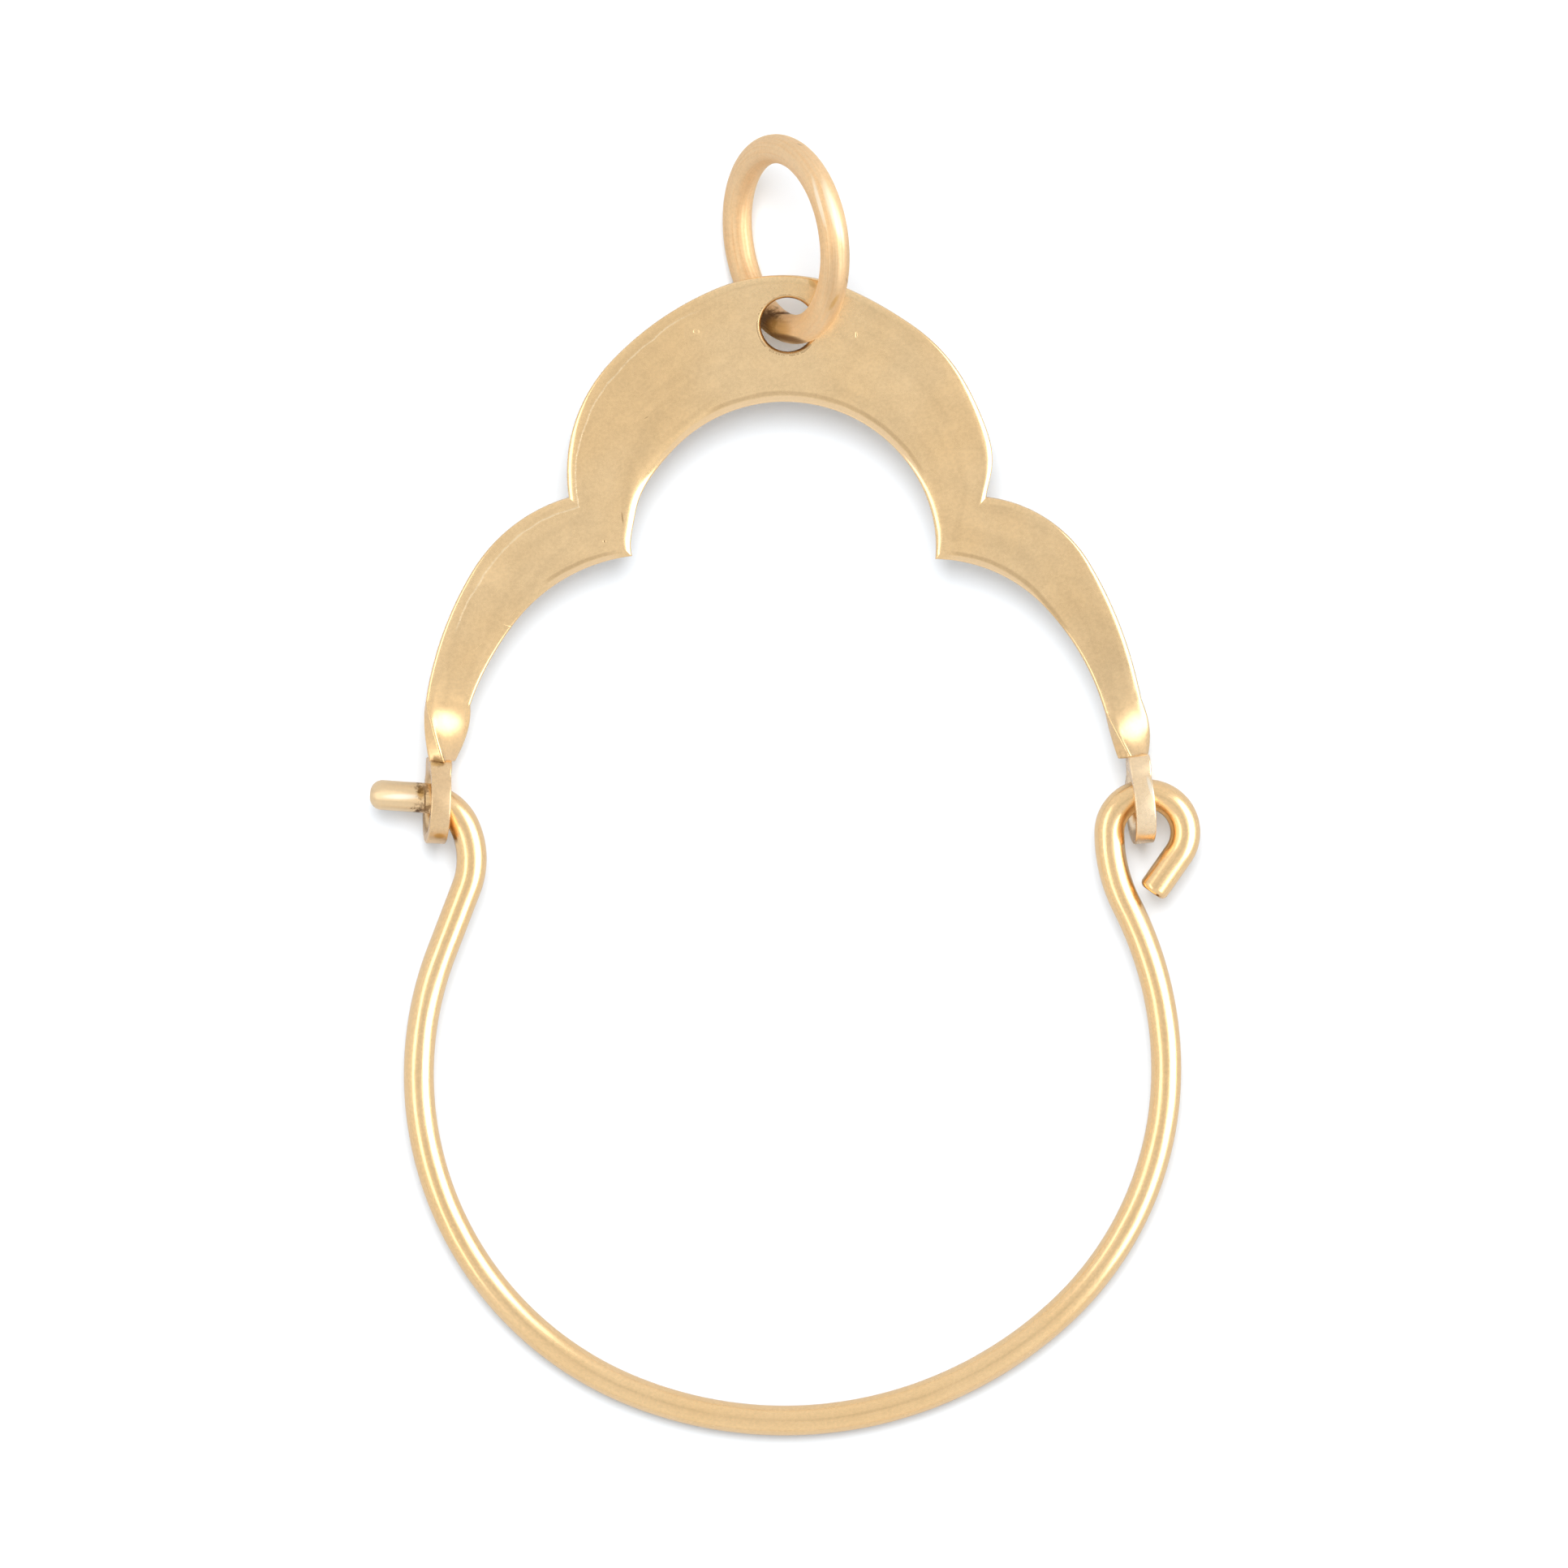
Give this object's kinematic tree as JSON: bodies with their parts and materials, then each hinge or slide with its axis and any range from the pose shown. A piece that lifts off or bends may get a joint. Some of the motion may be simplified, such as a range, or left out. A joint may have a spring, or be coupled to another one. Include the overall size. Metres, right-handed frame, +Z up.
{
  "type": "charm holder",
  "caption": "Gold charm holder: a flat scalloped plate with a jump ring at its top and a sprung wire bow that swings in the plate's eyelets and opens at a straight stub.",
  "frame": {"origin": "middle of the bottom face of the bounding box, on the surface that the holder lies on", "axes": "+Y from the bow's foot to the jump ring, +X towards the hooked side of the bow, +Z up from the surface, towards the front of the plate"},
  "size_m": [0.0284, 0.0444, 0.0063],
  "materials": {
    "gold_sheet": "polished sheet with fine scratches, soft rounded edges",
    "gold_ring": "satin drawn wire",
    "gold_wire": "polished drawn wire with long streaks"
  },
  "bodies": {
    "holder": {"scalloped_plate": "gold_sheet", "jump_ring": "gold_ring"},
    "bow": {"bow_wire": "gold_wire"}
  },
  "joints": [
    {"name": "bow_swing", "type": "hinge", "parent": "holder", "child": "bow", "pos_m": [-0.00001, -0.0006, 0.00141], "axis": [1, 0, 0], "range_deg": [-141, 151]}
  ]
}
